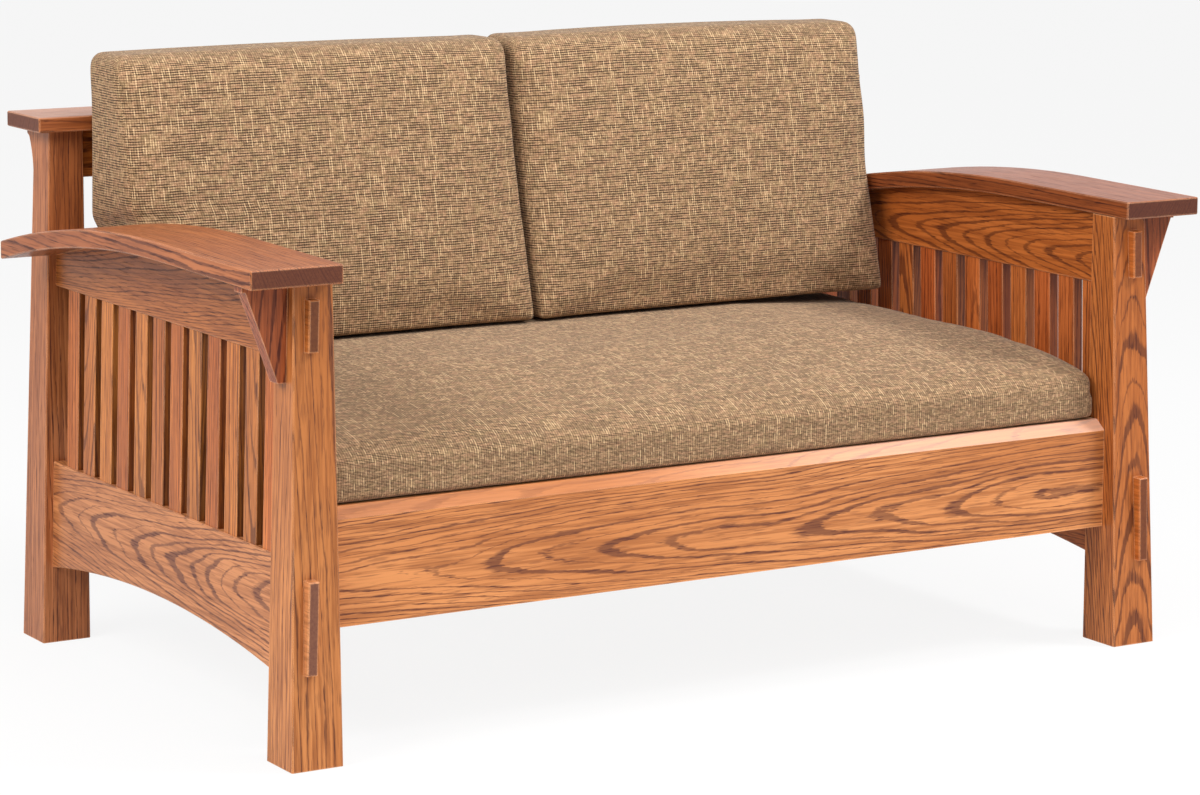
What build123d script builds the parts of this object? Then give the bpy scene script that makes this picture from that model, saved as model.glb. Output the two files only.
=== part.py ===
from build123d import *
from math import atan, degrees
import os

# All lengths are millimetres. X runs along the settle, Y from front to rear, Z up.
# Pieces are drawn with Y counted from the front of the feet and moved to the centre at export.

# Overall
between_legs = 1268.0
between_ends = 730.0

# Front legs
leg_width = 74.4
leg_depth = 73.8
out_taper = 0.028
front_taper = 0.037

# Rear posts
post_depth = 74.9
post_taper = 0.029
post_top = 752.0
swell_tall = 48.0
swell_middle_out = 5.5
swell_end_out = 16.5
lip_tall = 14.0
lip_slope = 4.0
lip_out = 24.0

# Arms
arm_thick = 25.4
arm_wide = 131.0
arm_front_over = 30.0
arm_front_top = 656.5
arm_peak_back = 262.0
arm_peak_rise = 3.0
arm_rear_fall = 59.0
arm_stub_long = 28.0
arm_stub_wide = 40.0
arm_stub_thick = 12.0

# Corbels
corbel_thick = 22.0
corbel_back = 37.5
corbel_short = 9.0
corbel_lip = 9.0
corbel_lip_in = 5.0
corbel_tall = 129.1
corbel_blunt = 12.0

# Side frames
rail_recess = 13.0
side_rail_thick = 22.0
bottom_rail_foot = 112.0
bottom_rail_tall = 157.0
bottom_arch_rise = 30.0
top_rail_tall = 104.6
tenon_thick = 15.0
tenon_proud = 12.7
tenon_edge = 1.5
bottom_tenon_low = 14.0
bottom_tenon_high = 20.0
top_tenon_low = 16.5
top_tenon_tall = 68.0
rear_tenon_long = 45.0
rear_top_tenon_tall = 20.0

# Side slats
slat_count = 12
slat_wide = 38.0
slat_thick = 16.8
slat_front_gap = 16.5
slat_rear_gap = 41.0
slat_seat = 10.0

# Front rail
front_rail_back = 34.0
front_rail_thick = 25.0
front_rail_foot = 174.8
front_rail_top = 331.4
front_bevel_deep = 18.0
front_bevel_tall = 14.0
cross_tenon_long = 30.0
cross_tenon_thick = 12.0
cross_tenon_edge = 14.0

# Back
back_rail_set = 8.4
back_rail_thick = 22.0
back_top_rail_tall = 71.0
rear_rail_foot = 200.0
back_slat_count = 12
back_slat_wide = 50.0
back_slat_thick = 12.7

# Cap
cap_end_over = 5.6
cap_front_over = 27.8
cap_deep = 118.0
cap_thick = 22.0

# Deck and ledgers
deck_thick = 12.7
deck_clear = 1.5
ledger_end_gap = 34.0
ledger_wide = 25.0
ledger_tall = 38.0

# Screws
screw_head_radius = 4.2
screw_head_deep = 3.0
screw_radius = 2.1
screw_tip = 3.0
screw_tip_share = 0.3
screw_sides = 12
screw_long = 32.0
screw_count = 4
screw_end = 80.0
screw_play = 0.2

# Seat cushion
cushion_clear = 0.3
seat_side_clear = 2.0
seat_front_set = 11.0
seat_rear_clear = 12.2
seat_front_tall = 56.6
seat_tall = 118.1
seat_crown_share = 0.51
seat_crown_fall = 8.0
seat_end_fall = 14.0
seat_front_bulge = 7.0
seat_shoulder = 42.0
seat_rear_shoulder = 30.0
seat_end_draw = 15.0
seat_end_run = 24.0
seat_level_share = 0.8
seat_foot_draw_share = 0.3
seat_front_draw_share = 0.25
shoulder_out_share = 0.32
shoulder_up_share = 0.62
crown_up_share = 0.75

# Back cushions
back_side_clear = 1.0
back_split = 1.0
back_rear_clear = 1.2
back_tall = 416.0
back_foot_thick = 193.0
back_top_thick = 99.0
back_front_bulge = 26.0
back_top_bulge = 5.0
back_corner = 30.0
back_rear_corner = 16.0
back_end_draw = 13.0
back_end_run = 20.0
back_foot_draw_share = 0.5
back_top_draw_share = 0.6

# Rounded corners and cushion ends
corner_share = 0.3
end_run_shares = (0, 0.13, 0.5, 1)
end_draw_shares = (1, 0.5, 0.13, 0)

# Eased edges
ease = 1.6
slat_ease = 1.0

# Overrun of every cutting shape
overrun = 20.0

# Placing
inner_half = between_legs / 2
outer_half = inner_half + leg_width
arm_half = inner_half + arm_wide
post_front = leg_depth + between_ends
rake = degrees(atan(out_taper))
rail_plane = outer_half - rail_recess
arm_underside = arm_front_top - arm_thick
arm_front = front_taper * arm_underside - arm_front_over
arm_peak_top = arm_front_top + arm_peak_rise
arm_rear_top = arm_front_top - arm_rear_fall
swell_end = post_top - lip_tall
swell_start = swell_end - swell_tall
corbel_foot = arm_underside - corbel_tall
corbel_reach = arm_half - corbel_short
cap_front = post_front - cap_front_over
cap_rear = cap_front + cap_deep
middle_back = (arm_front + cap_rear) / 2
bottom_rail_top = bottom_rail_foot + bottom_rail_tall
bottom_tenon_foot = bottom_rail_foot + bottom_tenon_low
bottom_tenon_top = bottom_rail_top - bottom_tenon_high
top_rail_foot = arm_underside - top_rail_tall
top_tenon_foot = top_rail_foot + top_tenon_low
slat_first = leg_depth + slat_front_gap + slat_wide / 2
slat_last = post_front - slat_rear_gap - slat_wide / 2
front_rail_front_top = front_rail_top - front_bevel_tall
back_top_rail_foot = post_top - back_top_rail_tall
back_plane = post_front + back_rail_set
front_rail_rear = front_rail_back + front_rail_thick
deck_foot = front_rail_top - deck_thick
ledger_half = inner_half - ledger_end_gap
seat_half = inner_half - seat_side_clear
seat_front = front_rail_back + seat_front_set
seat_rear = back_plane - seat_rear_clear
seat_foot = front_rail_top + cushion_clear
seat_crown_top = front_rail_top + seat_tall
seat_crown_start = seat_front + (seat_rear - seat_front) * seat_crown_share
back_cushion_half = inner_half - back_side_clear
back_cushion_rear = cap_front - back_rear_clear
back_cushion_foot = seat_crown_top + cushion_clear
back_cushion_top = back_cushion_foot + back_tall
back_foot_front = back_cushion_rear - back_foot_thick
back_top_front = back_cushion_rear - back_top_thick


def block(x0, x1, y0, y1, z0, z1):
    return Pos((x0 + x1) / 2, (y0 + y1) / 2, (z0 + z1) / 2) * Box(x1 - x0, y1 - y0, z1 - z0)


def side_shape(outline, x0, x1):
    return extrude(Plane.YZ.offset(x0) * make_face(outline), x1 - x0)


def front_shape(outline, y0, y1):
    return extrude(Plane.XZ.offset(-y1) * make_face(outline), y1 - y0)


def closed(points):
    return Polyline(*points, close=True).edges()


def long_edges(piece, axis):
    length = max(e.length for e in piece.edges())
    return [e for e in piece.edges() if e.length > length / 2 and abs((e % 0.5).dot(axis)) > 0.8]


def eased(piece, axis, size):
    return chamfer(long_edges(piece, axis), size)


def arm_line(drop, rear_drop):
    line = Line((arm_front, arm_front_top - drop), (arm_peak_back, arm_peak_top - drop))
    bow = TangentArc((arm_peak_back, arm_peak_top - drop), (post_front, arm_rear_top - rear_drop), tangent=line % 1)
    return line, bow


def arm_rear_drop():
    line, bow = arm_line(0, 0)
    slope = bow % 1
    return arm_thick / abs(slope.X)


def above_underside():
    line, bow = arm_line(arm_thick, arm_rear_drop())
    high = post_top + overrun
    lead = Line(line @ 0 - Vector(overrun, 0), line @ 0)
    rise = Line(bow @ 1, (post_front, high))
    over = Line((post_front, high), (arm_front - overrun, high))
    fall = Line((arm_front - overrun, high), lead @ 0)
    return side_shape([lead, line, bow, rise, over, fall], 0, arm_half + overrun)


def leg_blank(depth_outline):
    width = closed([(inner_half, 0), (outer_half, 0), (outer_half - out_taper * post_top, post_top), (inner_half, post_top)])
    across = front_shape(width, -overrun, post_front + post_depth + overrun)
    along = side_shape(depth_outline, inner_half - overrun, outer_half + overrun)
    return across & along


def leg_front(z):
    return front_taper * z


def front_leg():
    outline = closed([(0, 0), (leg_depth, 0), (leg_depth, post_top), (leg_front(post_top), post_top)])
    return eased(leg_blank(outline), Vector(0, 0, 1), ease) - above_underside()


def post_rear(z):
    return post_front + post_depth - post_taper * z


def rear_post():
    base = post_rear(swell_start)
    lip_foot = swell_end + lip_slope
    swell = ThreePointArc(
        (base, swell_start),
        (base + swell_middle_out, (swell_start + swell_end) / 2),
        (base + swell_end_out, swell_end),
    )
    edges = [
        Line((post_front, 0), (post_rear(0), 0)),
        Line((post_rear(0), 0), (base, swell_start)),
        swell,
        Line((base + swell_end_out, swell_end), (base + lip_out, lip_foot)),
        Line((base + lip_out, lip_foot), (base + lip_out, post_top)),
        Line((base + lip_out, post_top), (post_front, post_top)),
        Line((post_front, post_top), (post_front, 0)),
    ]
    blank = leg_blank(edges)
    front_edges = sorted(long_edges(blank, Vector(0, 0, 1)), key=lambda e: (e @ 0.5).Y)[:2]
    return chamfer(front_edges, ease)


def raked(piece):
    return Pos(rail_plane, 0, 0) * Rot(0, -rake, 0) * piece


def tenon(y0, y1, z0, z1):
    middle = -side_rail_thick / 2
    return block(middle - tenon_thick / 2, middle + tenon_thick / 2, y0, y1, z0, z1)


def through_tenon(z0, z1):
    tip = leg_front((z0 + z1) / 2) - tenon_proud
    shape = tenon(tip, leg_depth, z0, z1)
    return chamfer(shape.faces().sort_by(Axis.Y)[0].edges(), tenon_edge)


def side_bottom_rail():
    middle = leg_depth + between_ends / 2
    arch = ThreePointArc(
        (leg_depth, bottom_rail_foot),
        (middle, bottom_rail_foot + bottom_arch_rise),
        (post_front, bottom_rail_foot),
    )
    edges = [
        arch,
        Line((post_front, bottom_rail_foot), (post_front, bottom_rail_top)),
        Line((post_front, bottom_rail_top), (leg_depth, bottom_rail_top)),
        Line((leg_depth, bottom_rail_top), (leg_depth, bottom_rail_foot)),
    ]
    board = eased(side_shape(edges, -side_rail_thick, 0), Vector(0, 1, 0), ease)
    front = through_tenon(bottom_tenon_foot, bottom_tenon_top)
    rear = tenon(post_front, post_front + rear_tenon_long, bottom_tenon_foot, bottom_tenon_top)
    return raked(board + front + rear)


def side_top_rail():
    board = block(-side_rail_thick, 0, leg_depth, post_front, top_rail_foot, arm_front_top)
    board = eased(board, Vector(0, 1, 0), ease)
    front = through_tenon(top_tenon_foot, top_tenon_foot + top_tenon_tall)
    rear = tenon(post_front, post_front + rear_tenon_long, top_tenon_foot, top_tenon_foot + rear_top_tenon_tall)
    return raked(board + front + rear) - above_underside()


def slat_board(wide, thick, z0, z1):
    return eased(block(-thick / 2, thick / 2, -wide / 2, wide / 2, z0, z1), Vector(0, 0, 1), slat_ease)


def side_slats():
    board = slat_board(slat_wide, slat_thick, bottom_rail_top - slat_seat, top_rail_foot + slat_seat)
    pitch = (slat_last - slat_first) / (slat_count - 1)
    places = [slat_first + pitch * i for i in range(slat_count)]
    return [raked(Pos(-side_rail_thick / 2, y, 0) * board) for y in places]


def arm():
    line, bow = arm_line(0, 0)
    low_line, low_bow = arm_line(arm_thick, arm_rear_drop())
    ends = [Line(line @ 0, low_line @ 0), Line(bow @ 1, low_bow @ 1)]
    board = side_shape([line, bow, low_line, low_bow, *ends], inner_half, arm_half)
    board = chamfer(board.edges(), ease)
    middle = arm_rear_top - arm_rear_drop() / 2
    stub_out = inner_half + (leg_width - arm_stub_wide) / 2
    stub = block(
        stub_out,
        stub_out + arm_stub_wide - out_taper * middle,
        post_front - ease,
        post_front + arm_stub_long,
        middle - arm_stub_thick / 2,
        middle + arm_stub_thick / 2,
    )
    return board + stub


def corbel():
    face_low = outer_half - out_taper * corbel_foot
    face_high = outer_half - out_taper * post_top
    tip = face_low + corbel_blunt
    lip_foot = arm_underside - corbel_lip
    outline = closed([
        (face_low, corbel_foot),
        (tip, corbel_foot),
        (corbel_reach - corbel_lip_in, lip_foot),
        (corbel_reach, lip_foot),
        (corbel_reach, post_top),
        (face_high, post_top),
    ])
    return front_shape(outline, corbel_back, corbel_back + corbel_thick) - above_underside()


def cross_tenons(y_middle, z0, z1):
    reach = inner_half + cross_tenon_long
    half = cross_tenon_thick / 2
    return block(-reach, reach, y_middle - half, y_middle + half, z0 + cross_tenon_edge, z1 - cross_tenon_edge)


def front_seat_rail():
    outline = closed([
        (front_rail_back, front_rail_foot),
        (front_rail_rear, front_rail_foot),
        (front_rail_rear, front_rail_top),
        (front_rail_back + front_bevel_deep, front_rail_top),
        (front_rail_back, front_rail_front_top),
    ])
    board = side_shape(outline, -inner_half, inner_half)
    middle = (front_rail_back + front_rail_rear) / 2
    return board + cross_tenons(middle, front_rail_foot, front_rail_front_top)


def rear_rail(z0, z1):
    board = block(-inner_half, inner_half, back_plane, back_plane + back_rail_thick, z0, z1)
    return board + cross_tenons(back_plane + back_rail_thick / 2, z0, z1)


def back_slats():
    board = slat_board(back_slat_wide, back_slat_thick, front_rail_top - slat_seat, back_top_rail_foot + slat_seat)
    board = Rot(0, 0, 90) * board
    gap = (between_legs - back_slat_wide * back_slat_count) / (back_slat_count + 1)
    step = gap + back_slat_wide
    first = -inner_half + gap + back_slat_wide / 2
    return [Pos(first + step * i, back_plane + back_rail_thick / 2, 0) * board for i in range(back_slat_count)]


def cap():
    half = outer_half + cap_end_over
    board = block(-half, half, cap_front, cap_rear, post_top, post_top + cap_thick)
    return chamfer(board.edges(), ease)


def ledger(y0):
    return block(-ledger_half, ledger_half, y0, y0 + ledger_wide, deck_foot - ledger_tall, deck_foot)


def deck():
    half = inner_half - deck_clear
    return block(-half, half, front_rail_rear, back_plane, deck_foot, front_rail_top)


def screw_step(radius, depth):
    return Plane.XY.offset(-depth) * RegularPolygon(radius, screw_sides)


def screw(play):
    steps = [
        screw_step(screw_head_radius + play, 0),
        screw_step(screw_radius + play, screw_head_deep + play),
        screw_step(screw_radius + play, screw_long),
        screw_step((screw_radius + play) * screw_tip_share, screw_long + screw_tip),
    ]
    return loft(steps, ruled=True)


def screw_row(y, z, turn, play):
    span = 2 * (ledger_half - screw_end)
    step = span / (screw_count - 1)
    places = [-span / 2 + step * i for i in range(screw_count)]
    return [Pos(x, y, z) * Rot(turn, 0, 0) * screw(play) for x in places]


def deck_screw_set(play):
    front = screw_row(front_rail_rear + ledger_wide / 2, front_rail_top, 0, play)
    rear = screw_row(back_plane - ledger_wide / 2, front_rail_top, 0, play)
    return front + rear


def ledger_screw_set(play):
    low = deck_foot - ledger_tall + screw_head_radius * 2
    front = screw_row(front_rail_rear + ledger_wide, low, -90, play)
    rear = screw_row(back_plane - ledger_wide, low, 90, play)
    return front + rear


def between(a, b, share):
    return a + (b - a) * share


def corner_middle(y0, z0, y1, z1):
    return (between(y0, y1, corner_share), between(z0, z1, 1 - corner_share))


def seat_section(x, draw, fall):
    foot = seat_foot + draw * seat_foot_draw_share
    front = seat_front + draw * seat_front_draw_share
    rear = seat_rear - draw
    front_top = front_rail_top + seat_front_tall - draw * seat_front_draw_share
    crown = seat_crown_top - fall
    face = front + seat_front_bulge
    shoulder = face + seat_shoulder
    shoulder_top = (front_top + crown) / 2
    shoulder_mid = (
        between(face, shoulder, shoulder_out_share),
        between(front_top, shoulder_top, shoulder_up_share),
    )
    crown_mid = ((shoulder + seat_crown_start) / 2, between(shoulder_top, crown, crown_up_share))
    rear_mid = corner_middle(rear, crown - seat_rear_shoulder, rear - seat_rear_shoulder, crown)
    edges = [
        ThreePointArc((face, foot), (front, (foot + front_top) / 2), (face, front_top)),
        ThreePointArc((face, front_top), shoulder_mid, (shoulder, shoulder_top)),
        ThreePointArc((shoulder, shoulder_top), crown_mid, (seat_crown_start, crown)),
        Line((seat_crown_start, crown), (rear - seat_rear_shoulder, crown)),
        ThreePointArc((rear - seat_rear_shoulder, crown), rear_mid, (rear, crown - seat_rear_shoulder)),
        Line((rear, crown - seat_rear_shoulder), (rear, foot)),
        Line((rear, foot), (face, foot)),
    ]
    return Plane.YZ.offset(x) * make_face(edges)


def end_steps():
    return zip(end_run_shares, end_draw_shares)


def seat_cushion():
    ends = [
        (seat_half - seat_end_run * run, seat_end_draw * draw, seat_crown_fall + seat_end_fall * draw)
        for run, draw in end_steps()
    ]
    right = ends + [(seat_half * seat_level_share, 0, 0), (0, 0, 0)]
    left = [(-x, draw, fall) for x, draw, fall in reversed(right[:-1])]
    return loft([seat_section(*step) for step in right + left], ruled=True)


def back_section(x, draw, rise):
    foot = back_cushion_foot + draw * back_foot_draw_share
    top = back_cushion_top - draw * back_top_draw_share + rise
    rear = back_cushion_rear - draw * back_foot_draw_share
    foot_front = back_foot_front + draw
    top_front = back_top_front + draw * back_top_draw_share
    low = foot + back_corner
    high = top - back_corner
    bulge = ((foot_front + top_front) / 2 - back_front_bulge, (low + high) / 2)
    low_mid = corner_middle(foot_front, low, foot_front + back_corner, foot)
    high_mid = corner_middle(top_front, high, top_front + back_corner, top)
    rear_mid = corner_middle(rear, top - back_rear_corner, rear - back_rear_corner, top)
    edges = [
        ThreePointArc((foot_front + back_corner, foot), low_mid, (foot_front, low)),
        ThreePointArc((foot_front, low), bulge, (top_front, high)),
        ThreePointArc((top_front, high), high_mid, (top_front + back_corner, top)),
        Line((top_front + back_corner, top), (rear - back_rear_corner, top)),
        ThreePointArc((rear - back_rear_corner, top), rear_mid, (rear, top - back_rear_corner)),
        Line((rear, top - back_rear_corner), (rear, foot)),
        Line((rear, foot), (foot_front + back_corner, foot)),
    ]
    return Plane.YZ.offset(x) * make_face(edges)


def back_cushion():
    middle = (back_cushion_half + back_split) / 2
    half = (back_cushion_half - back_split) / 2
    right = [(half - back_end_run * run, back_end_draw * draw, 0) for run, draw in end_steps()]
    left = [(-x, draw, rise) for x, draw, rise in reversed(right)]
    steps = right + [(0, 0, back_top_bulge)] + left
    return loft([back_section(middle + x, draw, rise) for x, draw, rise in steps], ruled=True)


def save(shape, name):
    export_step(Pos(0, -middle_back, 0) * shape, "parts/" + name + ".step")


def save_group(shapes, name):
    placed = [Pos(0, -middle_back, 0) * shape for shape in shapes]
    export_step(Compound(children=placed), "parts/" + name + ".step")


def save_pair(shape, name):
    save(shape, name + "_right")
    save(mirror(shape, about=Plane.YZ), name + "_left")


def main():
    os.makedirs("parts", exist_ok=True)

    bottom_rail = side_bottom_rail()
    top_rail = side_top_rail()
    slats = side_slats()
    arm_board = arm()
    front_rail = front_seat_rail()
    back_low = rear_rail(rear_rail_foot, front_rail_top)
    back_high = rear_rail(back_top_rail_foot, post_top)
    uprights = back_slats()
    deck_board = deck()
    front_strip = ledger(front_rail_rear)
    rear_strip = ledger(back_plane - ledger_wide)
    deck_set = deck_screw_set(0)
    deck_holes = deck_screw_set(screw_play)
    ledger_set = ledger_screw_set(0)
    ledger_holes = ledger_screw_set(screw_play)

    leg = front_leg() - bottom_rail - top_rail - front_rail
    post = rear_post() - bottom_rail - top_rail - arm_board - back_low - back_high
    save_pair(leg, "front_leg")
    save_pair(post, "rear_post")
    save_pair(bottom_rail - slats, "side_bottom_rail")
    save_pair(top_rail - slats, "side_top_rail")
    save_pair(arm_board, "arm")
    save_pair(corbel(), "corbel")

    for i, slat in enumerate(slats):
        save(slat, "side_slat_right_" + str(i + 1))
        save(mirror(slat, about=Plane.YZ), "side_slat_left_" + str(i + 1))
    for i, slat in enumerate(uprights):
        save(slat, "back_slat_" + str(i + 1))

    save(front_rail - ledger_set, "front_seat_rail")
    save(back_low - uprights - ledger_set, "rear_seat_rail")
    save(back_high - uprights, "back_top_rail")
    save(cap(), "cap_rail")
    save(deck_board - deck_holes, "seat_deck")
    save(front_strip - deck_set - ledger_holes, "front_ledger")
    save(rear_strip - deck_set - ledger_holes, "rear_ledger")
    save_group(deck_set, "deck_screws")
    save_group(ledger_set, "ledger_screws")

    save(seat_cushion(), "seat_cushion")
    save_pair(back_cushion(), "back_cushion")


main()
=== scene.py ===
import bpy
import math
from mathutils import Matrix, Vector


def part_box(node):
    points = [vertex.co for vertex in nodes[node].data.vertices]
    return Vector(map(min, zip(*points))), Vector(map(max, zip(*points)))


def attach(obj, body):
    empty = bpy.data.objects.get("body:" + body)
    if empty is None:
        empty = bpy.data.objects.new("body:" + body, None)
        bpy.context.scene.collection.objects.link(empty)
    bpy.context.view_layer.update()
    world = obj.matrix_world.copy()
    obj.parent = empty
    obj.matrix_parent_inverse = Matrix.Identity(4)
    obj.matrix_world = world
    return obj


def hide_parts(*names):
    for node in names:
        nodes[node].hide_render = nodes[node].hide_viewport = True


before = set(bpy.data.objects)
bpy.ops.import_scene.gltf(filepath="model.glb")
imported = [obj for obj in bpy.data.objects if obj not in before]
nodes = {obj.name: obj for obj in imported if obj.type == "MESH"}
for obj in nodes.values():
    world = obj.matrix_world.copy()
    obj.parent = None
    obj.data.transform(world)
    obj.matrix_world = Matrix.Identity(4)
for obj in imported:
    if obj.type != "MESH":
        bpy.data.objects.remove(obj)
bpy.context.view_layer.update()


# Shader maths

class Wire:
    """A shader socket that takes part in sums as a number does."""

    def __init__(self, tree, socket):
        self.tree = tree
        self.socket = socket

    def maths(self, operation, *values):
        return add_node(self.tree, "ShaderNodeMath", {"operation": operation}, dict(enumerate(values)))[0]

    def __add__(self, other):
        return self.maths("ADD", self, other)

    def __radd__(self, other):
        return self.maths("ADD", other, self)

    def __sub__(self, other):
        return self.maths("SUBTRACT", self, other)

    def __rsub__(self, other):
        return self.maths("SUBTRACT", other, self)

    def __mul__(self, other):
        return self.maths("MULTIPLY", self, other)

    def __rmul__(self, other):
        return self.maths("MULTIPLY", other, self)

    def __truediv__(self, other):
        return self.maths("DIVIDE", self, other)

    def __rtruediv__(self, other):
        return self.maths("DIVIDE", other, self)

    def size(self):
        return self.maths("ABSOLUTE", self)

    def root(self):
        return self.maths("SQRT", self)

    def part(self):
        return self.maths("FRACT", self)

    def whole(self):
        return self.maths("FLOOR", self)

    def least(self, other):
        return self.maths("MINIMUM", self, other)

    def most(self, other):
        return self.maths("MAXIMUM", self, other)

    def step(self, low, high):
        """0 below low, 1 above high, and smooth between them."""
        values = {"Value": self, "From Min": low, "From Max": high}
        settings = {"interpolation_type": "SMOOTHSTEP"}
        return add_node(self.tree, "ShaderNodeMapRange", settings, values)[0]


def add_node(tree, kind, settings=None, values=None):
    """One node: its settings first, then the values or links of its sockets. Gives its outputs."""
    node = tree.nodes.new(kind)
    for key, value in (settings or {}).items():
        setattr(node, key, value)
    for key, value in (values or {}).items():
        feed(tree, node.inputs[key], value)
    return [Wire(tree, output) for output in node.outputs if output.enabled]


def feed(tree, socket, value):
    """Links a wire to a socket, or sets a plain value on it."""
    if isinstance(value, Wire):
        tree.links.new(value.socket, socket)
    else:
        socket.default_value = value


class Finish:
    """A material under construction, with the nodes that a maker's finish needs."""

    def __init__(self, name):
        self.material = bpy.data.materials.new(name)
        self.material.use_nodes = True
        self.tree = self.material.node_tree
        self.shader = self.tree.nodes["Principled BSDF"]
        self.out = self.tree.nodes["Material Output"]

    def node(self, kind, settings=None, values=None):
        return add_node(self.tree, kind, settings, values)

    def place(self):
        return self.node("ShaderNodeTexCoord")[3]

    def facing(self):
        return self.node("ShaderNodeNewGeometry")[1]

    def split(self, vector):
        return self.node("ShaderNodeSeparateXYZ", None, {0: vector})

    def join(self, x, y, z):
        return self.node("ShaderNodeCombineXYZ", None, {0: x, 1: y, 2: z})[0]

    def noise(self, vector, detail=2.0, w=None):
        settings = {"noise_dimensions": "3D" if w is None else "4D"}
        values = {"Vector": vector, "Scale": 1.0, "Detail": detail}
        if w is not None:
            values["W"] = w
        return self.node("ShaderNodeTexNoise", settings, values)[0]

    def mix(self, share, low, high, blend="MIX"):
        """The low colour where the share is 0, and the high one where it is 1."""
        settings = {"data_type": "RGBA", "blend_type": blend}
        first, second = [colour if isinstance(colour, Wire) else (*colour, 1) for colour in (low, high)]
        return self.node("ShaderNodeMix", settings, {0: share, 6: first, 7: second})[0]

    def layers(self, colour, *coats):
        """A colour with coats laid over it in turn, each as far as its share."""
        for share, coat in coats:
            colour = self.mix(share, colour, coat)
        return colour

    def arris(self, radius):
        """How far the surface turns within a radius: 0 on a flat, towards 1 on an arris."""
        bent = self.node("ShaderNodeBevel", {"samples": 4}, {"Radius": radius})[0]
        vectors = {0: bent, 1: self.facing()}
        return 1 - self.node("ShaderNodeVectorMath", {"operation": "DOT_PRODUCT"}, vectors)[0]

    def bump(self, height, strength, distance):
        values = {"Strength": strength, "Distance": distance, "Height": height}
        self.set(normal=self.node("ShaderNodeBump", None, values)[0])

    def set(self, **values):
        for key, value in values.items():
            label = key.replace("_", " ").title().replace("Ior", "IOR")
            feed(self.tree, self.shader.inputs[label], value)


# Camera

def look():
    """The camera of the photograph, as it was fitted to the corners of the frame."""
    place = Vector((-2.84348, -4.69734, 1.34458))
    yaw, pitch, roll = -0.545377, 0.146266, 0.004871
    lens = 114.359
    shift_across, shift_up = 0.00683, -0.1
    sensor_width = 36
    far_end = 60
    forward = Vector((-math.sin(yaw) * math.cos(pitch), math.cos(yaw) * math.cos(pitch), -math.sin(pitch)))
    level = Vector((math.cos(yaw), math.sin(yaw), 0))
    upright = level.cross(forward)
    right = math.cos(roll) * level + math.sin(roll) * upright
    up = math.cos(roll) * upright - math.sin(roll) * level
    data = bpy.data.cameras.new("view")
    data.sensor_fit = "HORIZONTAL"
    data.sensor_width = sensor_width
    data.lens = lens
    data.shift_x = shift_across
    data.shift_y = shift_up
    data.clip_end = far_end
    camera = bpy.data.objects.new("view", data)
    turn = Matrix((right, up, -forward)).transposed().to_4x4()
    camera.matrix_world = Matrix.Translation(place) @ turn
    bpy.context.scene.collection.objects.link(camera)
    bpy.context.scene.camera = camera


# Floor and light

white = (1, 1, 1, 1)
floor_grey = (0.86, 0.86, 0.86, 1)
floor_reach = 14
floor_drop = 0.0005
floor_glow = 0.88
room_light = 0.3
backdrop_light = 0.7


def shown(tree):
    """1 for rays that show a surface, straight, mirrored or let through, and 0 for the rest."""
    paths = add_node(tree, "ShaderNodeLightPath")
    straight, mirrored, let_through = paths[0], paths[3], paths[6]
    return straight.most(mirrored).most(let_through)


def pale_floor():
    finish = Finish("pale_floor")
    finish.set(base_color=floor_grey, roughness=0.9)
    glow = finish.node("ShaderNodeEmission", None, {"Color": white, "Strength": 1.0})[0]
    surface = Wire(finish.tree, finish.shader.outputs[0])
    share = floor_glow * shown(finish.tree)
    mixed = finish.node("ShaderNodeMixShader", None, {0: share, 1: surface, 2: glow})[0]
    finish.tree.links.new(mixed.socket, finish.out.inputs["Surface"])
    low, high = -floor_reach, floor_reach
    mesh = bpy.data.meshes.new("floor")
    mesh.from_pydata([(low, low, 0), (high, low, 0), (high, high, 0), (low, high, 0)], [], [(0, 1, 2, 3)])
    mesh.materials.append(finish.material)
    floor = bpy.data.objects.new("floor", mesh)
    floor.location.z = -floor_drop
    bpy.context.scene.collection.objects.link(floor)


def pale_world():
    world = bpy.data.worlds.new("studio")
    bpy.context.scene.world = world
    world.use_nodes = True
    tree = world.node_tree
    soft = tree.nodes["Background"]
    feed(tree, soft.inputs["Color"], white)
    feed(tree, soft.inputs["Strength"], room_light + backdrop_light * shown(tree))


def soft_box(name, place, aim, size, power):
    data = bpy.data.lights.new(name, "AREA")
    data.shape = "RECTANGLE"
    data.size, data.size_y = size
    data.energy = power
    lamp = bpy.data.objects.new(name, data)
    lamp.location = place
    lamp.rotation_euler = (Vector(aim) - Vector(place)).to_track_quat("-Z", "Y").to_euler()
    bpy.context.scene.collection.objects.link(lamp)
    return lamp


def studio():
    pale_floor()
    pale_world()
    soft_box("front", place=(-0.9, -4.0, 3.5), aim=(0, -0.2, 0.4), size=(2.6, 2.0), power=64)
    soft_box("right", place=(2.7, -2.2, 3.4), aim=(0.3, 0, 0.5), size=(1.0, 0.8), power=122)
    left = soft_box("left", place=(-3.1, -0.5, 2.5), aim=(-0.6, 0, 0.3), size=(2.0, 1.6), power=100)
    left.visible_glossy = False
    soft_box("top", place=(0.25, -0.8, 2.8), aim=(0.1, 0, 0.5), size=(1.8, 0.8), power=25)


# Cushions

hair = 0.0002
swell_limit = 0.012
swell_moments = 20


def span(name):
    """The low corner, the high corner, the middle and the half size of a node's box."""
    low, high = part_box(name)
    return low, high, (low + high) / 2, (high - low) / 2


def held(value, low, high):
    return max(low, min(high, value))


def eased(share):
    share = held(share, 0, 1)
    return share * share * (3 - 2 * share)


def rounded(point, half, soft):
    """A point of a plain box moved on to the box with elliptical edges."""
    inner = Vector([held(p, r - h, h - r) for p, h, r in zip(point, half, soft)])
    out = Vector([(p - i) / r for p, i, r in zip(point, inner, soft)])
    out.normalize()
    return inner + Vector([o * r for o, r in zip(out, soft)])


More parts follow.
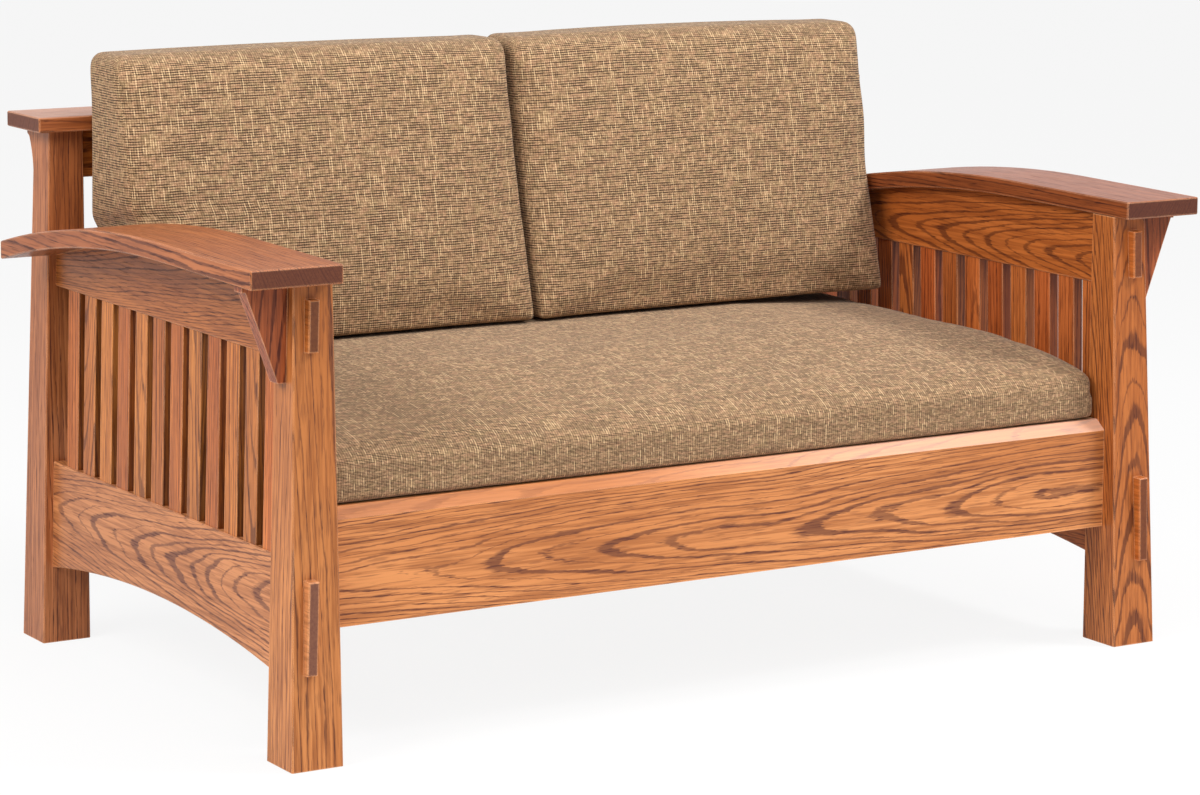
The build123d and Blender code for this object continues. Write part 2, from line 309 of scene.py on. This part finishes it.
def cover(name, half, cell, soft, shape):
    """A closed cushion cover: a lattice on six panels, with the place of each corner in its cloth."""
    end_panel_gap = 0.7
    counts = [round(2 * h / cell) for h in half]
    index, points, faces, threads = {}, [], [], []

    def plain(key):
        return Vector([h * (2 * k / n - 1) for h, k, n in zip(half, key, counts)])

    def corner(key):
        if key not in index:
            index[key] = len(points)
            points.append(shape(rounded(plain(key), half, soft(plain(key)))))
        return index[key]

    def thread(key, axis, side):
        x, y, z = plain(key)
        if axis == 0:
            return (half[0] + side * end_panel_gap + y, z, 0)
        if axis == 1:
            return (x, z * -side, 0)
        return (x, half[2] + side * (half[1] + y), 0)

    for axis in range(3):
        first, second = [a for a in range(3) if a != axis]
        for side in (-1, 1):
            for i in range(counts[first]):
                for j in range(counts[second]):
                    ring = []
                    for more_i, more_j in ((0, 0), (1, 0), (1, 1), (0, 1)):
                        key = [0, 0, 0]
                        key[axis] = counts[axis] if side > 0 else 0
                        key[first], key[second] = i + more_i, j + more_j
                        ring.append(tuple(key))
                    if (side > 0) == (axis == 1):
                        ring.reverse()
                    faces.append([corner(key) for key in ring])
                    threads.extend(thread(key, axis, side) for key in ring)
    mesh = bpy.data.meshes.new(name)
    mesh.from_pydata(points, [], faces)
    layer = mesh.attributes.new("thread", "FLOAT_VECTOR", "CORNER")
    layer.data.foreach_set("vector", [value for thread_at in threads for value in thread_at])
    piece = bpy.data.objects.new(name, mesh)
    bpy.context.scene.collection.objects.link(piece)
    return piece


def apply_all(piece):
    graph = bpy.context.evaluated_depsgraph_get()
    mesh = bpy.data.meshes.new_from_object(piece.evaluated_get(graph))
    piece.modifiers.clear()
    piece.data = mesh


def puff(piece, pressure, shares):
    """The stuffing swells the cover, as far as the limit and the shares of the three axes allow."""
    start = [v.co.copy() for v in piece.data.vertices]
    cloth = piece.modifiers.new("cloth", "CLOTH").settings
    cloth.quality = 6
    cloth.mass = 0.4
    cloth.tension_stiffness = 30
    cloth.compression_stiffness = 30
    cloth.shear_stiffness = 12
    cloth.bending_stiffness = 2
    cloth.use_pressure = True
    cloth.uniform_pressure_force = pressure
    cloth.effector_weights.gravity = 0
    for moment in range(1, swell_moments + 1):
        bpy.context.scene.frame_set(moment)
    apply_all(piece)
    for vertex, old in zip(piece.data.vertices, start):
        move = vertex.co - old
        if move.length > swell_limit:
            move *= swell_limit / move.length
        vertex.co = old + Vector([m * share for m, share in zip(move, shares)])


def subdivide(piece):
    step = piece.modifiers.new("finer", "SUBSURF")
    step.levels = step.render_levels = 1
    apply_all(piece)


def finish_cushion(piece, node, body, material):
    piece.data.materials.clear()
    piece.data.materials.append(material)
    for face in piece.data.polygons:
        face.use_smooth = True
    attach(piece, body)
    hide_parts(node)


def seat_pad(material):
    """The seat cushion: a low soft front edge, a crown behind it, and ends that fall."""
    low, high, middle, half = span("seat_cushion")
    cell = 0.011
    tuck = Vector((0.001, 0.002, 0))
    top = Vector((high.x, high.y, high.z - hair))
    front_height = 0.062
    crown_gap = 0.004
    crown_height = high.z - low.z - crown_gap
    crown_depth_share = 0.5
    fall = 0.0205
    even_fall_share = 0.2
    fall_side, fall_side_reach = 0.45, 0.55
    fall_depth, fall_depth_reach = 0.08, 0.42
    front_reach = 0.2
    end_edge = 0.009
    foot_edge = 0.006
    long_edge, front_long_edge = 0.02, 0.016
    top_edge, front_top_edge = 0.018, 0.008

    def seat_soft(point):
        front = 1 - eased((point.y + half.y) / front_reach)
        if point.z < 0:
            return Vector((end_edge, end_edge, foot_edge))
        return Vector((end_edge, long_edge + front_long_edge * front, top_edge + front_top_edge * front))

    def shape(point):
        depth = (point.y + half.y) / (2 * half.y)
        side = abs(point.x) / half.x
        rise = eased(0.5 + 0.5 * held(depth / crown_depth_share, 0, 1)) * 2 - 1
        height = front_height + (crown_height - front_height) * rise
        across_share = eased((side - fall_side) / fall_side_reach)
        fall_share = even_fall_share + (1 - even_fall_share) * across_share
        height -= fall * fall_share * eased((depth - fall_depth) / fall_depth_reach)
        share = (point.z + half.z) / (2 * half.z)
        return Vector((middle.x + point.x, middle.y + point.y, low.z + height * share))

    piece = cover("seat_pad", half - tuck, cell, seat_soft, shape)
    puff(piece, pressure=3.0, shares=(0.2, 0.4, 0.8))
    subdivide(piece)
    for vertex in piece.data.vertices:
        vertex.co = [held(c, a, b) for c, a, b in zip(vertex.co, low, top)]
    finish_cushion(piece, "seat_cushion", "seat_cushion", material)


arm_line = [(v.co.y, v.co.z) for v in nodes["arm_left"].data.vertices]
arm_look_around = 0.03
arm_clearance = 0.002


def arm_top(y):
    """The height of the arms' top faces at a place between the crown and the rear end."""
    return max(z for place, z in arm_line if abs(place - y) < arm_look_around) + arm_clearance


def back_pad(side, lift, crown, over_arm, flare, material):
    """A back cushion: a wedge with a full front, whose outer side spreads over the arm beside it. lift and
    crown raise its top, over_arm is how far it spreads, and flare the height in which it does so."""
    node = "back_cushion_" + side
    low, high, middle, half = span(node)
    cell = 0.0105
    tuck = Vector((0.001, 0, 0.002))
    foot_thick, top_thick, bulge = 0.193, 0.1, 0.012
    across_power, height_power, spread_power = 4, 0.8, 2
    top_trim = 0.006
    end_edge, top_end_edge = 0.006, 0.007
    face_edge, top_face_edge = 0.008, 0.030
    foot_edge, top_edge = 0.007, 0.019
    soft_height_share = 0.8
    tall = high.z - low.z + lift
    outward = -1 if side == "left" else 1

    def shape(point):
        height = (point.z + half.z) / (2 * half.z)
        across = point.x / half.x
        thick = foot_thick + (top_thick - foot_thick) * height
        upright = math.sin(math.pi * held(height, 0, 1)) ** height_power
        swell = bulge * (1 - across ** across_power) * upright
        depth = (half.y - point.y) / (2 * half.y)
        top = crown * (1 - across * across) * height
        rise = low.z + tall * height + top - top_trim * height
        back = high.y - depth * (thick + swell)
        spread = ((1 + outward * across) / 2) ** spread_power * over_arm
        out = outward * spread * eased((rise - arm_top(back)) / flare)
        return Vector((middle.x + point.x + out, back, rise))

    def back_soft(point):
        top = eased((point.z + half.z) / (2 * soft_height_share * half.z))
        ends = end_edge + top_end_edge * top
        return Vector((ends, face_edge + top_face_edge * top, foot_edge + top_edge * top))

    piece = cover("back_pad_" + side, half - tuck, cell, back_soft, shape)
    puff(piece, pressure=3.5, shares=(0.2, 0.8, 0.2))
    subdivide(piece)
    for vertex in piece.data.vertices:
        spare = over_arm * eased((vertex.co.z - arm_top(vertex.co.y)) / flare)
        left = low.x - (spare if side == "left" else 0)
        right = high.x + (spare if side == "right" else 0)
        vertex.co.x = held(vertex.co.x, left, right)
        vertex.co.y = min(vertex.co.y, high.y)
        vertex.co.z = max(vertex.co.z, low.z + hair)
    finish_cushion(piece, node, node, material)


# Oak

oak_light = (0.74, 0.30, 0.108)
oak_mellow = (0.55, 0.19, 0.056)
oak_dusk = (0.36, 0.115, 0.034)
oak_pore = (0.135, 0.04, 0.022)
oak_end = (0.15, 0.055, 0.036)
# Painted shade: a dark colour for the slats' narrow faces, which stand in the shade of the gaps.
oak_rim = (0.06, 0.02, 0.014)
# Pale arrises: stain worn thin at the edges, together with a painted highlight along them.
oak_wear_and_highlight = (0.95, 0.50, 0.26)
# Painted sheen: a pale colour laid on upward faces in place of a reflection of the light.
oak_bloom = (0.92, 0.58, 0.44)
# Painted shade: a darker orange laid on upward faces short of the painted sheen's span.
oak_painted_shade = (0.50, 0.175, 0.055)

stain_golden = (0.98, 0.98, 0.94)
stain_amber = (0.88, 0.72, 0.42)
stain_warm = (0.78, 0.58, 0.36)
stain_russet = (0.72, 0.50, 0.42)
# Corbel stain, darkened by a painted shadow of the arm above the corbels.
stain_cherry_painted_shadow = (0.56, 0.38, 0.36)
stain_umber = (0.56, 0.44, 0.38)
# Stain tone with a painted sheen: its blue is raised to pale the left leg.
stain_honey_painted_sheen = (0.79, 0.74, 0.62)
stain_maple = (0.75, 0.61, 0.44)
# Darker than the left arm's stain: a painted shade on the right arm.
stain_oxblood_painted_shade = (0.45, 0.32, 0.29)
# Stain tone for the left top rail, darkened by a painted shadow of the arm above it.
stain_chestnut_painted_shadow = (0.64, 0.52, 0.34)
stain_brown = (0.68, 0.60, 0.60)
# Stain tone with a painted sheen: pale and bluish for the left bottom rail.
stain_hazel_painted_sheen = (0.86, 0.88, 0.96)
stain_copper = (0.92, 0.64, 0.46)

wave_reach = 0.0032
teeth_reach = 0.0013
ring_spread, spread_rate = 2.4, 70
thin_year, year_growth = 0.45, 1.1
pale_year, year_depth = 0.7, 0.3
dusk_share = 0.75
early_share, early_pore_share, pore_share = 0.78, 0.22, 0.38
end_share = 0.85
calm_share, calm_fade = 0.85, 0.004
painted_shade_share = 0.6
wear_and_highlight_share, scuff_share = 0.35, 0.4
wear_and_highlight_radius = 0.003
pore_depth = 0.0004
tenon_proud = 0.014


class Board:
    """A board in its finish, with places along its grain, across it and through its thickness from the
    board's middle. order gives those three axes."""

    def __init__(self, finish, order, middle, seed):
        self.finish = finish
        self.seed = seed
        self.axes = ["xyz".index(axis) for axis in order]
        where = finish.split(finish.place())
        self.along, self.across, self.deep = [where[axis] - middle[axis] for axis in self.axes]
        self.looks = finish.split(finish.facing())

    def noise(self, along, across, shift, detail=2.0):
        """Noise drawn out along the grain, with so many waves in a metre along it and across it."""
        place = self.finish.join(self.along * along, self.across * across, self.deep * across)
        return self.finish.noise(place, detail, self.seed + shift)

    def facing(self, axis):
        """1 on the faces that look along one of the board's axes, either way."""
        return self.looks[self.axes[axis]].size().step(0.75, 0.95)

    def upper(self):
        """1 on the faces that look up."""
        return self.looks[2].step(0.6, 0.75)


def early_wood(board, heart, cone, ring, sway, band):
    """The dark bands that start the year's rings. heart is the tree's heart in the board's section, cone
    how fast the rings widen along the board, ring their width, sway how far the grain wanders, and band
    the dark share of a ring."""
    side = board.across - heart[0]
    down = board.deep - heart[1]
    radius = (side * side + down * down).root()
    bend = board.noise(along=1.7, across=5, shift=0) - 0.5
    wave = board.noise(along=11, across=40, shift=3) - 0.5
    teeth = board.noise(along=75, across=520, shift=5, detail=1) - 0.5
    spread = board.finish.noise(board.finish.join(radius * spread_rate, board.seed, 0)) - 0.5
    wander = bend * sway * 2 + wave * wave_reach + teeth * teeth_reach
    turns = (radius + board.along * cone + wander) / ring + spread * ring_spread
    age = turns.part()
    year = board.finish.node("ShaderNodeTexWhiteNoise", {"noise_dimensions": "1D"}, {"W": turns.whole()})[0]
    wide = band * (thin_year + year_growth * year)
    starts, ends = age.step(0, 0.08), (age / wide).step(0.75, 1.25)
    return starts * (1 - ends) * (pale_year + year_depth * year)


def oak(name, order, heart, cone, seed, stain=stain_amber, ring=0.0045, sway=0.012, band=0.3, bloom=0.0,
        bloom_span=None, rim=0.0, calm=None):
    """Stained oak for the board of that name. bloom is how pale its upper faces are painted, a painted
    sheen, and bloom_span where along it that sets in, with a painted shade on the upper faces short of
    it; rim is how dark its narrow faces are painted, a painted shade, and calm how far from the
    middle the figure fades, on a tenon's cheeks."""
    finish = Finish("oak_" + name)
    board = Board(finish, order, span(name)[2], seed)
    early = early_wood(board, heart, cone, ring, sway, band)
    if calm:
        early = early * (1 - calm_share * board.along.size().step(calm - calm_fade, calm))
    pores = board.noise(along=24, across=420, shift=9, detail=1).step(0.55, 0.66)
    fibre = board.noise(along=7, across=210, shift=15, detail=3).step(0.38, 0.64)
    broad = board.noise(along=1.3, across=9, shift=11).step(0.3, 0.7)
    scuff = board.noise(along=20, across=20, shift=13).step(0.3, 0.7)
    # Mask of the arrises, for wear and for a painted highlight.
    wear_and_highlight = finish.arris(wear_and_highlight_radius).step(0.02, 0.2)
    end = board.facing(0)
    colour = finish.layers(
        oak_mellow,
        (broad, oak_light),
        (fibre * dusk_share, oak_dusk),
        ((early * (early_share + early_pore_share * pores) + pore_share * pores).least(1), oak_pore),
        (end * end_share, oak_end),
    )
    # Painted shade on the narrow faces, as far as its share.
    if rim:
        colour = finish.mix(board.facing(1) * rim, colour, oak_rim)
    colour = finish.mix(1.0, colour, stain, "MULTIPLY")
    colour = finish.mix(wear_and_highlight * (wear_and_highlight_share + scuff_share * scuff), colour, oak_wear_and_highlight)
    # Painted sheen on the upward faces; with a span, a painted shade on them before the sheen sets in.
    if bloom:
        upper = board.upper() * bloom
        if bloom_span:
            reach = board.along.step(*bloom_span)
            # Painted shade on the upward faces, before the painted sheen sets in.
            colour = finish.mix(board.upper() * (1 - reach) * painted_shade_share, colour, oak_painted_shade)
            upper = upper * reach
        colour = finish.mix(upper, colour, oak_bloom)
    finish.set(
        base_color=colour,
        roughness=0.36 + 0.1 * pores + 0.08 * early + 0.12 * end,
        specular_ior_level=0.22,
        coat_weight=0.06,
        coat_roughness=0.25,
    )
    finish.bump(0 - early * 0.5 - pores * 0.5, strength=0.35, distance=pore_depth)
    return finish.material


# Cloth, pine and steel

yarn_dark = (0.34, 0.20, 0.10)
yarn_light = (0.62, 0.385, 0.21)
yarn_brown, brown_share = (0.20, 0.118, 0.058), 0.62
yarn_rose, rose_share = (0.50, 0.24, 0.15), 0.26
yarn_moss, moss_share = (0.27, 0.22, 0.095), 0.24
yarn_speck, speck_share = (0.13, 0.075, 0.036), 0.5
yarn_glint, glint_share = (0.86, 0.60, 0.34), 0.2
# Painted shade in the gaps between the upright yarns.
gap_painted_shade, gap_shade_share = (0.10, 0.055, 0.03), 0.4
# Painted shade in the hollows between the rows, deeper along the weft's dark stretches.
hollow_painted_shade, hollow_shade_share = (0.04, 0.02, 0.012), 0.4
yarn_slub, slub_share, slub_more, slub_sunk = (0.84, 0.59, 0.33), 0.12, 0.58, 0.45

thread_pitch = 0.0036
row_drift, column_drift, thread_waver = 0.004, 0.005, 0.0008
weave_depth = 0.0005

pine_warm = (0.50, 0.33, 0.17)
pine_pale = (0.66, 0.47, 0.27)
pine_knot, knot_share = (0.36, 0.21, 0.1), 0.4
pine_depth = 0.0004
steel_dark = (0.42, 0.41, 0.38)
steel_light = (0.66, 0.65, 0.62)


def tweed():
    """A plain weave of uneven yarns. Rows run across the cushion and hollows part them, and thick pale
    stretches of the upright yarns lie over the rows. A painted shade darkens the hollows and the gaps
    between the upright yarns."""
    finish = Finish("tweed")
    u, v = finish.split(finish.node("ShaderNodeAttribute", {"attribute_name": "thread"})[1])[:2]

    def noise(x, y, shift, detail=2.0):
        return finish.noise(finish.join(x, y, shift), detail)

    drift = noise(u * 7, v * 7, 0) - 0.5
    waver = noise(u * 60, v * 60, 4) - 0.5
    row_place = (v + drift * row_drift + waver * thread_waver) / thread_pitch
    column_place = (u + drift * column_drift + waver * thread_waver) / thread_pitch
    row = row_place.whole()
    column = column_place.whole()
    ridge = (row_place.part() - 0.5).size() * 2
    rib = (column_place.part() - 0.5).size() * 2
    weft = noise(u * 27, row * 3.71, 2).step(0.42, 0.54)
    warp = noise(v * 42, column * 5.13, 9).step(0.55, 0.63)
    yarn = noise(u * 160, row * 2.37, 6, detail=1).step(0.35, 0.65)
    half_cell = finish.join((row_place * 2).whole(), (column_place * 2).whole(), 0)
    chance = finish.node("ShaderNodeTexWhiteNoise", {"noise_dimensions": "2D"}, {"Vector": half_cell})[0]
    rose = noise(u * 60, v * 90, 5).step(0.45, 0.62)
    moss = noise(u * 52, v * 80, 8).step(0.48, 0.64)
    speck = noise(u * 170, v * 110, 12, detail=1).step(0.5, 0.62)
    glint = noise(u * 190, v * 120, 15, detail=1).step(0.58, 0.68)
    gap = rib.step(0.7, 1.0)
    hollow = 1 - ridge.step(0.3, 0.65)
    crest = 1 - rib.step(0.25, 0.6)
    slub = crest * (slub_share + slub_more * warp)
    colour = finish.layers(
        yarn_dark,
        (yarn, yarn_light),
        (chance * brown_share, yarn_brown),
        (rose * rose_share, yarn_rose),
        (moss * moss_share, yarn_moss),
        (speck * speck_share, yarn_speck),
        (glint * glint_share, yarn_glint),
        # Painted shade in the gaps between the upright yarns.
        (gap * gap_shade_share, gap_painted_shade),
        # Painted shade in the hollows between the rows.
        (hollow * (hollow_shade_share + (1 - hollow_shade_share) * weft), hollow_painted_shade),
        (slub * (1 - slub_sunk * hollow), yarn_slub),
    )
    finish.set(
        base_color=colour,
        roughness=0.93,
        sheen_weight=0.1,
        sheen_roughness=0.5,
        specular_ior_level=0.2,
    )
    relief = (1 - hollow) * 0.8 + slub * 0.7 + chance * 0.3
    finish.bump(relief, strength=0.5, distance=weave_depth)
    return finish.material


def plain_wood():
    finish = Finish("plain_wood")
    x, y, z = finish.split(finish.place())
    grain = finish.noise(finish.join(x * 4, y * 110, z * 110), detail=3)
    knots = finish.noise(finish.join(x * 2, y * 9, z * 9)).step(0.6, 0.75)
    colour = finish.layers(pine_warm, (grain.step(0.35, 0.65), pine_pale), (knots * knot_share, pine_knot))
    finish.set(base_color=colour, roughness=0.62 + 0.12 * grain)
    finish.bump(grain, strength=0.3, distance=pine_depth)
    return finish.material


def screw_steel():
    finish = Finish("screw_steel")
    x, y, z = finish.split(finish.place())
    brush = finish.noise(finish.join(x * 900, y * 900, z * 60))
    colour = finish.mix(brush, steel_dark, steel_light)
    finish.set(base_color=colour, metallic=1.0, roughness=0.3 + 0.2 * brush)
    return finish.material


# Dressing

slat_count = 12


def dress(name, material):
    node = nodes[name]
    node.data.materials.clear()
    node.data.materials.append(material)


def dress_oak(name, order, **figure):
    dress(name, oak(name, order, **figure))


def cheeks(name):
    """How far a side rail runs from its middle to the cheeks of its through tenons."""
    return span(name)[3].y - tenon_proud


def dress_legs():
    dress_oak("front_leg_left", "zxy", heart=(0.10, 0.10), cone=0.012, seed=11, stain=stain_honey_painted_sheen,
              ring=0.0072, band=0.2)
    dress_oak("front_leg_right", "zxy", heart=(0.002, 0.052), cone=0.10, seed=23, stain=stain_maple,
              sway=0.008)
    dress_oak("rear_post_left", "zxy", heart=(-0.13, 0.12), cone=0.003, seed=31, stain=stain_brown,
              band=0.22)
    dress_oak("rear_post_right", "zxy", heart=(0.14, 0.12), cone=0.003, seed=37, stain=stain_russet,
              band=0.18)


def dress_side_rails():
    low_calm = cheeks("side_bottom_rail_left")
    dress_oak("side_bottom_rail_left", "yzx", heart=(0.012, 0.05), cone=0.07, seed=41, stain=stain_hazel_painted_sheen,
              ring=0.004, calm=low_calm)
    dress_oak("side_bottom_rail_right", "yzx", heart=(0.0, 0.06), cone=-0.04, seed=43, stain=stain_warm,
              calm=low_calm)
    high_calm = cheeks("side_top_rail_left")
    dress_oak("side_top_rail_left", "yzx", heart=(0.05, 0.05), cone=-0.07, seed=47, stain=stain_chestnut_painted_shadow,
              ring=0.0036, calm=high_calm)
    dress_oak("side_top_rail_right", "yzx", heart=(-0.02, 0.045), cone=0.08, seed=53, stain=stain_warm,
              ring=0.0038, sway=0.016, calm=high_calm)


def dress_arms():
    dress_oak("arm_left", "yxz", heart=(0.18, 0.12), cone=0.003, seed=59, stain=stain_umber)
    dress_oak("arm_right", "yxz", heart=(-0.18, 0.12), cone=0.003, seed=61, stain=stain_oxblood_painted_shade)
    dress_oak("corbel_left", "zxy", heart=(0.04, 0.06), cone=0.03, seed=67, stain=stain_cherry_painted_shadow)
    dress_oak("corbel_right", "zxy", heart=(-0.04, 0.06), cone=0.03, seed=71, stain=stain_cherry_painted_shadow)


def dress_long_rails():
    dress_oak("front_seat_rail", "xzy", heart=(-0.02, 0.048), cone=-0.03, seed=73, stain=stain_golden,
              ring=0.0038, sway=0.017, bloom=0.5, bloom_span=(-0.3, 0.35))
    dress_oak("rear_seat_rail", "xzy", heart=(0.01, 0.07), cone=0.04, seed=79)
    dress_oak("back_top_rail", "xzy", heart=(0.01, 0.09), cone=0.03, seed=83)
    dress_oak("cap_rail", "xyz", heart=(0.2, 0.1), cone=0.003, seed=89, stain=stain_umber, bloom=0.22)


def dress_side_slats(side, first_seed, base, flat_sawn):
    """The slats of one end. One in three is flat-sawn, with the heart near it, the others rift-sawn."""
    for i in range(slat_count):
        seed = first_seed + 3 * i
        turn = math.sin(seed * 1.7)
        lean = math.cos(seed * 2.3)
        if i % 3 == flat_sawn:
            heart, cone = (0.02 * turn, 0.045), 0.05 * lean
        else:
            heart, cone = (math.copysign(0.05 + 0.05 * abs(lean), turn), 0.04), 0.008 * lean
        tone = 0.93 + 0.12 * math.sin(seed * 0.9)
        warmth = 1 - 0.12 * math.sin(seed * 2.9)
        stain = (tone * base[0], tone * warmth * base[1], tone * warmth * base[2])
        dress_oak("side_slat_%s_%d" % (side, i + 1), "zyx", heart=heart, cone=cone, seed=seed, stain=stain,
                  sway=0.007, band=0.34 + 0.1 * lean, rim=0.55)


def dress_back_slats():
    for i in range(slat_count):
        seed = 200 + 3 * i
        turn = math.sin(seed * 1.7)
        lean = math.cos(seed * 2.3)
        dress_oak("back_slat_%d" % (i + 1), "zxy", heart=(0.05 * turn, 0.07), cone=0.02 * lean, seed=seed,
                  sway=0.006)


def dress_hidden():
    pine = plain_wood()
    for name in ("seat_deck", "front_ledger", "rear_ledger"):
        dress(name, pine)
    steel = screw_steel()
    for name in ("deck_screws", "ledger_screws"):
        dress(name, steel)


def dress_cushions():
    cloth = tweed()
    seat_pad(cloth)
    back_pad("left", lift=0.006, crown=0.003, over_arm=0.011, flare=0.02, material=cloth)
    back_pad("right", lift=0.006, crown=0.006, over_arm=0.0075, flare=0.1, material=cloth)


look()
studio()
dress_legs()
dress_side_rails()
dress_arms()
dress_long_rails()
dress_side_slats("left", 100, stain_amber, flat_sawn=1)
dress_side_slats("right", 140, stain_copper, flat_sawn=2)
dress_back_slats()
dress_hidden()
dress_cushions()
view = bpy.context.scene.view_settings
view.view_transform = "Standard"
